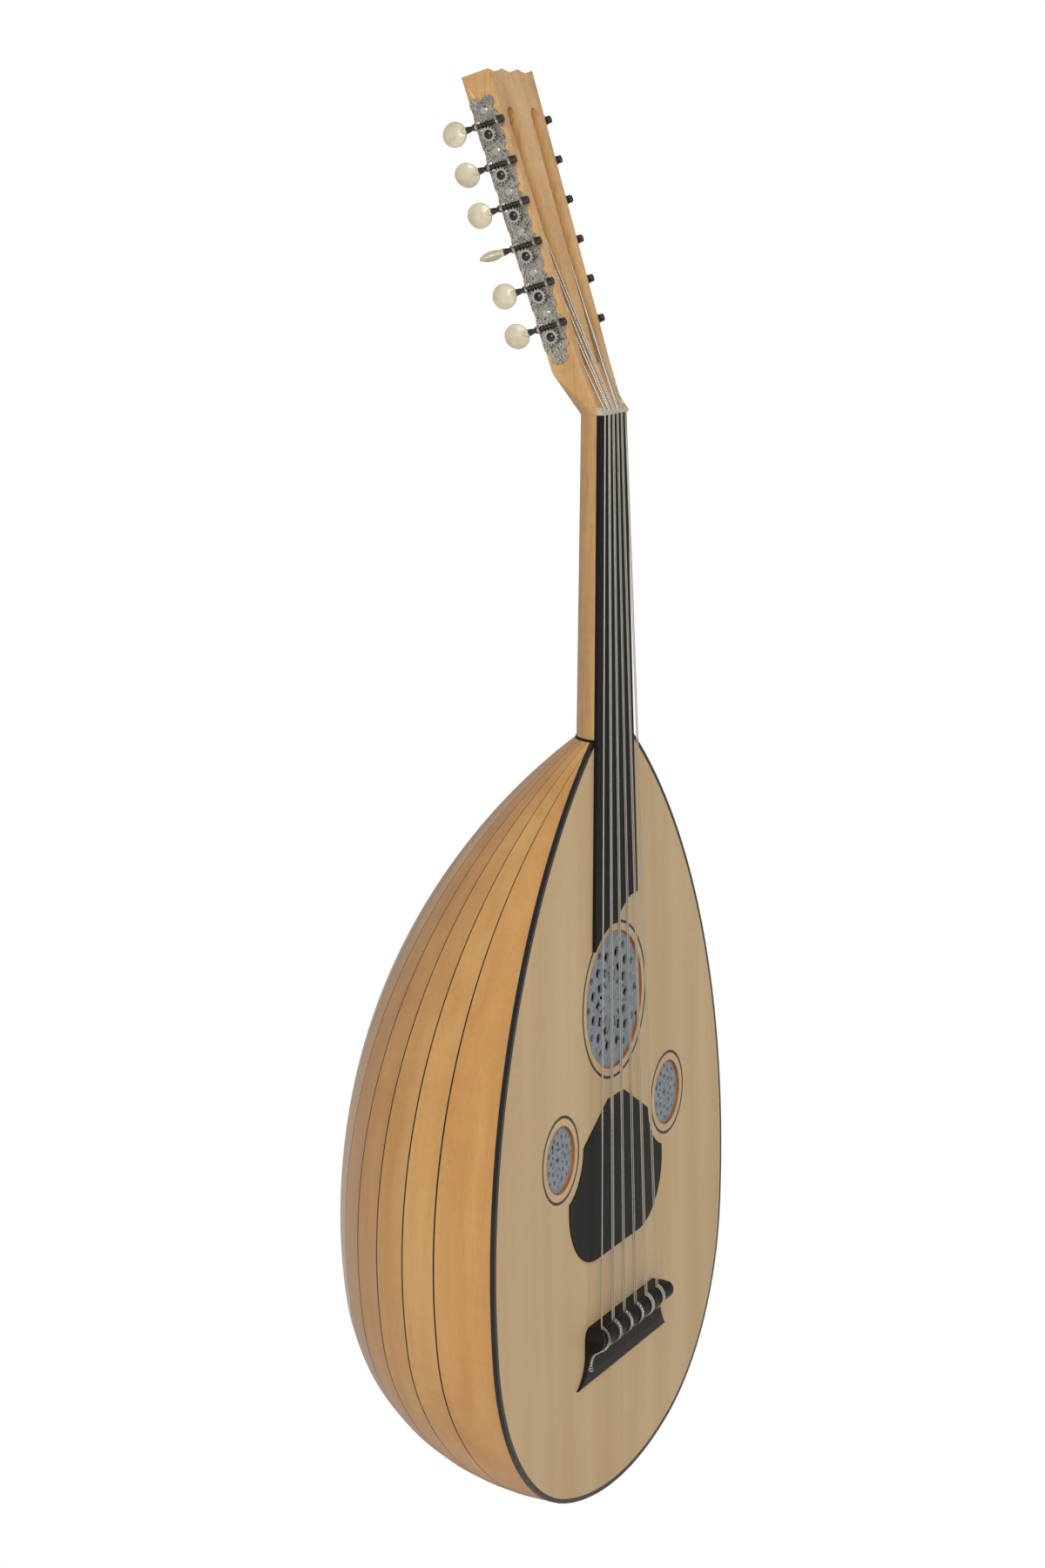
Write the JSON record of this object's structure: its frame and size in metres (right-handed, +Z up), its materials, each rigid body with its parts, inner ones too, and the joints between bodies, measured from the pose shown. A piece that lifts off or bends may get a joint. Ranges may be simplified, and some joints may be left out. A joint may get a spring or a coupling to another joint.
{
  "type": "oud",
  "caption": "Short-necked lute with a ribbed round bowl, flat soundboard with pierced rosettes, bent slotted head, worm-geared tuners, and strings over a low fixed bridge.",
  "frame": {"origin": "on the centre line at the front of the nut, in the plane of the soundboard", "axes": "+Z up the neck towards the head, +Y into the bowl, +X towards the treble side"},
  "size_m": [0.3796, 0.1971, 0.9328],
  "materials": {
    "spruce_top": "satin, vertical grain",
    "spruce_inside": "bare",
    "rosette": "matt blue-grey",
    "dark_inlay": "satin",
    "maple_ribs": "glossy honey lacquer",
    "maple_neck": "glossy lacquer",
    "ebony": "satin black",
    "bone": "polished cream",
    "engraved_plate": "engraved",
    "screw_steel": "satin",
    "pearl_button": "pearly",
    "worm_steel": "dark nickel",
    "gear_nickel": "polished",
    "wound_string": "fine winding",
    "nylon_string": "clear nylon"
  },
  "bodies": {
    "oud": {"soundboard": "spruce_top", "soundboard_braces": "spruce_inside", "main_rosette": "rosette", "bass_rosette": "rosette", "treble_rosette": "rosette", "soundhole_rings": "dark_inlay", "edge_binding": "dark_inlay", "bowl_ribs": "maple_ribs", "rib_purfling": "dark_inlay", "neck_block": "spruce_inside", "tail_block": "spruce_inside", "neck": "maple_neck", "heel_band": "ebony", "fingerboard": "ebony", "nut": "bone", "headstock": "maple_neck", "bridge": "ebony", "pickguard": "ebony", "bass_tuner_plate": "engraved_plate", "treble_tuner_plate": "engraved_plate", "tuner_plate_screws": "screw_steel", "wound_strings": "wound_string", "plain_strings": "nylon_string"},
    "bass_key_1": {"bass_button_1": "pearl_button", "bass_worm_shaft_1": "worm_steel"},
    "bass_roller_1": {"bass_post_1": "gear_nickel"},
    "bass_key_2": {"bass_button_2": "pearl_button", "bass_worm_shaft_2": "worm_steel"},
    "bass_roller_2": {"bass_post_2": "gear_nickel"},
    "bass_key_3": {"bass_button_3": "pearl_button", "bass_worm_shaft_3": "worm_steel"},
    "bass_roller_3": {"bass_post_3": "gear_nickel"},
    "bass_key_4": {"bass_button_4": "pearl_button", "bass_worm_shaft_4": "worm_steel"},
    "bass_roller_4": {"bass_post_4": "gear_nickel"},
    "bass_key_5": {"bass_button_5": "pearl_button", "bass_worm_shaft_5": "worm_steel"},
    "bass_roller_5": {"bass_post_5": "gear_nickel"},
    "bass_key_6": {"bass_button_6": "pearl_button", "bass_worm_shaft_6": "worm_steel"},
    "bass_roller_6": {"bass_post_6": "gear_nickel"},
    "treble_key_1": {"treble_button_1": "pearl_button", "treble_worm_shaft_1": "worm_steel"},
    "treble_roller_1": {"treble_post_1": "gear_nickel"},
    "treble_key_2": {"treble_button_2": "pearl_button", "treble_worm_shaft_2": "worm_steel"},
    "treble_roller_2": {"treble_post_2": "gear_nickel"},
    "treble_key_3": {"treble_button_3": "pearl_button", "treble_worm_shaft_3": "worm_steel"},
    "treble_roller_3": {"treble_post_3": "gear_nickel"},
    "treble_key_4": {"treble_button_4": "pearl_button", "treble_worm_shaft_4": "worm_steel"},
    "treble_roller_4": {"treble_post_4": "gear_nickel"},
    "treble_key_5": {"treble_button_5": "pearl_button", "treble_worm_shaft_5": "worm_steel"},
    "treble_roller_5": {"treble_post_5": "gear_nickel"},
    "treble_key_6": {"treble_button_6": "pearl_button", "treble_worm_shaft_6": "worm_steel"},
    "treble_roller_6": {"treble_post_6": "gear_nickel"}
  },
  "joints": [
    {"name": "bass_key_turn_1", "type": "hinge", "parent": "oud", "child": "bass_key_1", "pos_m": [-0.02996, 0.03701, 0.05347], "axis": [0, 0.9563, -0.2924], "continuous": true},
    {"name": "bass_roller_turn_1", "type": "hinge", "parent": "oud", "child": "bass_roller_1", "pos_m": [-0.02535, 0.02668, 0.04962], "axis": [-0.999, -0.0132, -0.043], "continuous": true},
    {"name": "bass_key_turn_2", "type": "hinge", "parent": "oud", "child": "bass_key_2", "pos_m": [-0.03114, 0.04472, 0.07869], "axis": [0, 0.9563, -0.2924], "continuous": true},
    {"name": "bass_roller_turn_2", "type": "hinge", "parent": "oud", "child": "bass_roller_2", "pos_m": [-0.02654, 0.0344, 0.07484], "axis": [-0.999, -0.0132, -0.043], "continuous": true},
    {"name": "bass_key_turn_3", "type": "hinge", "parent": "oud", "child": "bass_key_3", "pos_m": [-0.03233, 0.05243, 0.10391], "axis": [0, 0.9563, -0.2924], "continuous": true},
    {"name": "bass_roller_turn_3", "type": "hinge", "parent": "oud", "child": "bass_roller_3", "pos_m": [-0.02773, 0.04211, 0.10007], "axis": [-0.999, -0.0132, -0.043], "continuous": true},
    {"name": "bass_key_turn_4", "type": "hinge", "parent": "oud", "child": "bass_key_4", "pos_m": [-0.03352, 0.06014, 0.12913], "axis": [0, 0.9563, -0.2924], "continuous": true},
    {"name": "bass_roller_turn_4", "type": "hinge", "parent": "oud", "child": "bass_roller_4", "pos_m": [-0.02892, 0.04982, 0.12529], "axis": [-0.999, -0.0132, -0.043], "continuous": true},
    {"name": "bass_key_turn_5", "type": "hinge", "parent": "oud", "child": "bass_key_5", "pos_m": [-0.03471, 0.06785, 0.15436], "axis": [0, 0.9563, -0.2924], "continuous": true},
    {"name": "bass_roller_turn_5", "type": "hinge", "parent": "oud", "child": "bass_roller_5", "pos_m": [-0.0301, 0.05753, 0.15051], "axis": [-0.999, -0.0132, -0.043], "continuous": true},
    {"name": "bass_key_turn_6", "type": "hinge", "parent": "oud", "child": "bass_key_6", "pos_m": [-0.0359, 0.07556, 0.17958], "axis": [0, 0.9563, -0.2924], "continuous": true},
    {"name": "bass_roller_turn_6", "type": "hinge", "parent": "oud", "child": "bass_roller_6", "pos_m": [-0.03129, 0.06524, 0.17573], "axis": [-0.999, -0.0132, -0.043], "continuous": true},
    {"name": "treble_key_turn_1", "type": "hinge", "parent": "oud", "child": "treble_key_1", "pos_m": [0.02996, 0.03701, 0.05347], "axis": [0, 0.9563, -0.2924], "continuous": true},
    {"name": "treble_roller_turn_1", "type": "hinge", "parent": "oud", "child": "treble_roller_1", "pos_m": [0.02535, 0.02668, 0.04962], "axis": [0.999, -0.0132, -0.043], "continuous": true},
    {"name": "treble_key_turn_2", "type": "hinge", "parent": "oud", "child": "treble_key_2", "pos_m": [0.03114, 0.04472, 0.07869], "axis": [0, 0.9563, -0.2924], "continuous": true},
    {"name": "treble_roller_turn_2", "type": "hinge", "parent": "oud", "child": "treble_roller_2", "pos_m": [0.02654, 0.0344, 0.07484], "axis": [0.999, -0.0132, -0.043], "continuous": true},
    {"name": "treble_key_turn_3", "type": "hinge", "parent": "oud", "child": "treble_key_3", "pos_m": [0.03233, 0.05243, 0.10391], "axis": [0, 0.9563, -0.2924], "continuous": true},
    {"name": "treble_roller_turn_3", "type": "hinge", "parent": "oud", "child": "treble_roller_3", "pos_m": [0.02773, 0.04211, 0.10007], "axis": [0.999, -0.0132, -0.043], "continuous": true},
    {"name": "treble_key_turn_4", "type": "hinge", "parent": "oud", "child": "treble_key_4", "pos_m": [0.03352, 0.06014, 0.12913], "axis": [0, 0.9563, -0.2924], "continuous": true},
    {"name": "treble_roller_turn_4", "type": "hinge", "parent": "oud", "child": "treble_roller_4", "pos_m": [0.02892, 0.04982, 0.12529], "axis": [0.999, -0.0132, -0.043], "continuous": true},
    {"name": "treble_key_turn_5", "type": "hinge", "parent": "oud", "child": "treble_key_5", "pos_m": [0.03471, 0.06785, 0.15436], "axis": [0, 0.9563, -0.2924], "continuous": true},
    {"name": "treble_roller_turn_5", "type": "hinge", "parent": "oud", "child": "treble_roller_5", "pos_m": [0.0301, 0.05753, 0.15051], "axis": [0.999, -0.0132, -0.043], "continuous": true},
    {"name": "treble_key_turn_6", "type": "hinge", "parent": "oud", "child": "treble_key_6", "pos_m": [0.0359, 0.07556, 0.17958], "axis": [0, 0.9563, -0.2924], "continuous": true},
    {"name": "treble_roller_turn_6", "type": "hinge", "parent": "oud", "child": "treble_roller_6", "pos_m": [0.03129, 0.06524, 0.17573], "axis": [0.999, -0.0132, -0.043], "continuous": true}
  ],
  "couplings": [
    {"joint": "bass_roller_turn_1", "follows": "bass_key_turn_1", "ratio": -0.071429},
    {"joint": "bass_roller_turn_2", "follows": "bass_key_turn_2", "ratio": -0.071429},
    {"joint": "bass_roller_turn_3", "follows": "bass_key_turn_3", "ratio": -0.071429},
    {"joint": "bass_roller_turn_4", "follows": "bass_key_turn_4", "ratio": -0.071429},
    {"joint": "bass_roller_turn_5", "follows": "bass_key_turn_5", "ratio": -0.071429},
    {"joint": "bass_roller_turn_6", "follows": "bass_key_turn_6", "ratio": -0.071429},
    {"joint": "treble_roller_turn_1", "follows": "treble_key_turn_1", "ratio": -0.071429},
    {"joint": "treble_roller_turn_2", "follows": "treble_key_turn_2", "ratio": -0.071429},
    {"joint": "treble_roller_turn_3", "follows": "treble_key_turn_3", "ratio": -0.071429},
    {"joint": "treble_roller_turn_4", "follows": "treble_key_turn_4", "ratio": -0.071429},
    {"joint": "treble_roller_turn_5", "follows": "treble_key_turn_5", "ratio": -0.071429},
    {"joint": "treble_roller_turn_6", "follows": "treble_key_turn_6", "ratio": -0.071429}
  ]
}
